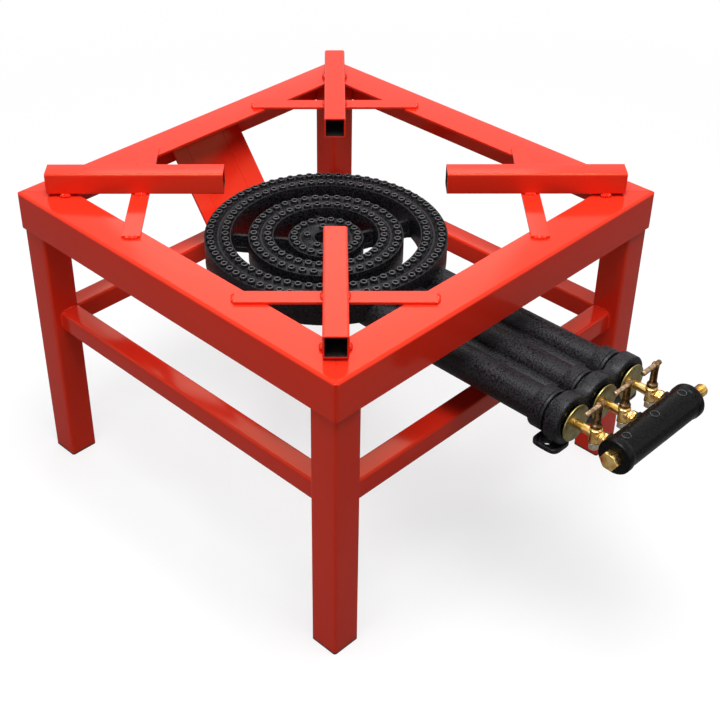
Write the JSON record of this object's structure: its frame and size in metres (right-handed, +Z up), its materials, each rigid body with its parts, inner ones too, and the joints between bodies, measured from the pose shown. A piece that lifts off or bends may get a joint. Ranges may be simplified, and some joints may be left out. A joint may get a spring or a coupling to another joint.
{
  "type": "high pressure gas burner",
  "caption": "Cast iron gas burner with nested rings of flame nozzles, lever valves and air shutters, on a welded square steel stand that carries a large pan.",
  "frame": {"origin": "on the floor, under the middle of the whole object's box; the middle of the square stand is 99.25 mm behind it", "axes": "+Z up; -Y is the side with the manifold, the valves and their levers; +X is to the right of someone who stands at the valves and looks at the burner"},
  "size_m": [0.5, 0.6984, 0.388],
  "materials": {
    "red_paint": "gloss powder coat",
    "black_cap": "satin moulded plastic",
    "zinc_steel": "zinc plated",
    "black_casting": "sand cast, black stove paint",
    "yellow_zinc": "yellow zinc plated",
    "brass": "turned",
    "lever_bronze": "tarnished bronze",
    "nickel": "nickel plated"
  },
  "bodies": {
    "burner_and_stand": {"top_rail_front": "red_paint", "top_rail_right": "red_paint", "top_rail_back": "red_paint", "top_rail_left": "red_paint", "leg_front_left": "red_paint", "leg_front_right": "red_paint", "leg_back_right": "red_paint", "leg_back_left": "red_paint", "lower_rail_front": "red_paint", "lower_rail_right": "red_paint", "lower_rail_back": "red_paint", "lower_rail_left": "red_paint", "pan_support_front_left": "red_paint", "pan_support_front_right": "red_paint", "pan_support_back_right": "red_paint", "pan_support_back_left": "red_paint", "corner_strap_front_left": "red_paint", "corner_strap_front_right": "red_paint", "corner_strap_back_right": "red_paint", "corner_strap_back_left": "red_paint", "burner_carrier": "red_paint", "foot_cap_front_left": "black_cap", "foot_cap_front_right": "black_cap", "foot_cap_back_right": "black_cap", "foot_cap_back_left": "black_cap", "carrier_bolts": "zinc_steel", "carrier_washers": "zinc_steel", "burner_casting": "black_casting", "outer_flame_nozzles": "black_casting", "middle_flame_nozzles": "black_casting", "inner_flame_nozzles": "black_casting", "gas_manifold": "black_casting", "gas_jet_left": "brass", "gas_jet_centre": "brass", "gas_jet_right": "brass", "valve_body_left": "brass", "valve_body_centre": "brass", "valve_body_right": "brass", "manifold_plug": "brass", "gas_inlet": "brass"},
    "lever_left": {"valve_lever_left": "lever_bronze", "plug_washer_left": "nickel", "plug_nut_left": "nickel"},
    "lever_centre": {"valve_lever_centre": "lever_bronze", "plug_washer_centre": "nickel", "plug_nut_centre": "nickel"},
    "lever_right": {"valve_lever_right": "lever_bronze", "plug_washer_right": "nickel", "plug_nut_right": "nickel"},
    "shutter_left": {"air_shutter_left": "yellow_zinc"},
    "shutter_centre": {"air_shutter_centre": "yellow_zinc"},
    "shutter_right": {"air_shutter_right": "yellow_zinc"}
  },
  "joints": [
    {"name": "valve_turn_left", "type": "hinge", "parent": "burner_and_stand", "child": "lever_left", "pos_m": [-0.046, -0.29775, 0.2715], "axis": [0, 0, 1], "range_deg": [0, 90]},
    {"name": "valve_turn_centre", "type": "hinge", "parent": "burner_and_stand", "child": "lever_centre", "pos_m": [0, -0.29775, 0.2715], "axis": [0, 0, 1], "range_deg": [0, 90]},
    {"name": "valve_turn_right", "type": "hinge", "parent": "burner_and_stand", "child": "lever_right", "pos_m": [0.046, -0.29775, 0.2715], "axis": [0, 0, 1], "range_deg": [0, 90]},
    {"name": "air_slide_left", "type": "slide", "parent": "burner_and_stand", "child": "shutter_left", "axis": [0, 1, 0], "range_m": [0, 0.0028]},
    {"name": "air_slide_centre", "type": "slide", "parent": "burner_and_stand", "child": "shutter_centre", "axis": [0, 1, 0], "range_m": [0, 0.0028]},
    {"name": "air_slide_right", "type": "slide", "parent": "burner_and_stand", "child": "shutter_right", "axis": [0, 1, 0], "range_m": [0, 0.0028]}
  ]
}
